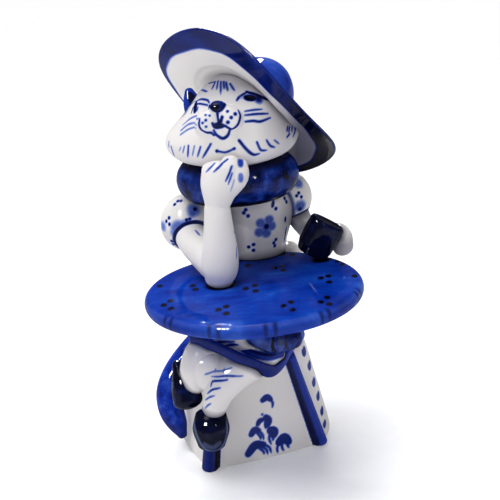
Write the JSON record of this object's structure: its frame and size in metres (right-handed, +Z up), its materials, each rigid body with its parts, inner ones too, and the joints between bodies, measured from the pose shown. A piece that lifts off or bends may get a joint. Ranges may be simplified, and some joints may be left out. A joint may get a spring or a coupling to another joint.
{
  "type": "porcelain figurine",
  "caption": "Glazed porcelain figurine of a seated cat lady in a wide-brimmed hat, leaning one elbow on a round table, with a handbag and a tail.",
  "frame": {"origin": "middle of the seat block's underside, on the surface that the figurine stands on", "axes": "+Z up; the cat and the near side of her table face -Y; her right hand is towards -X"},
  "size_m": [0.0811, 0.104, 0.161],
  "materials": {
    "white_porcelain": "clear glaze over white porcelain, hand painted in cobalt",
    "cobalt_glaze": "clear glaze over a full cobalt wash",
    "navy_glaze": "clear glaze over a dense cobalt wash, almost black"
  },
  "bodies": {
    "root": {"seat_block": "white_porcelain", "skirt": "white_porcelain", "skirt_hem": "cobalt_glaze", "skirt_fold": "navy_glaze", "torso": "white_porcelain", "table_top": "cobalt_glaze", "leg_left": "white_porcelain", "leg_right": "white_porcelain", "shoe_left": "navy_glaze", "shoe_right": "navy_glaze", "tail": "cobalt_glaze", "scarf": "cobalt_glaze", "head": "white_porcelain", "ear_right": "white_porcelain", "hat_crown": "cobalt_glaze", "hat_brim": "white_porcelain", "sleeve_right": "white_porcelain", "arm_right": "white_porcelain", "paw_right": "white_porcelain", "sleeve_left": "white_porcelain", "arm_left": "white_porcelain", "paw_left": "white_porcelain", "handbag": "navy_glaze"}
  },
  "joints": []
}
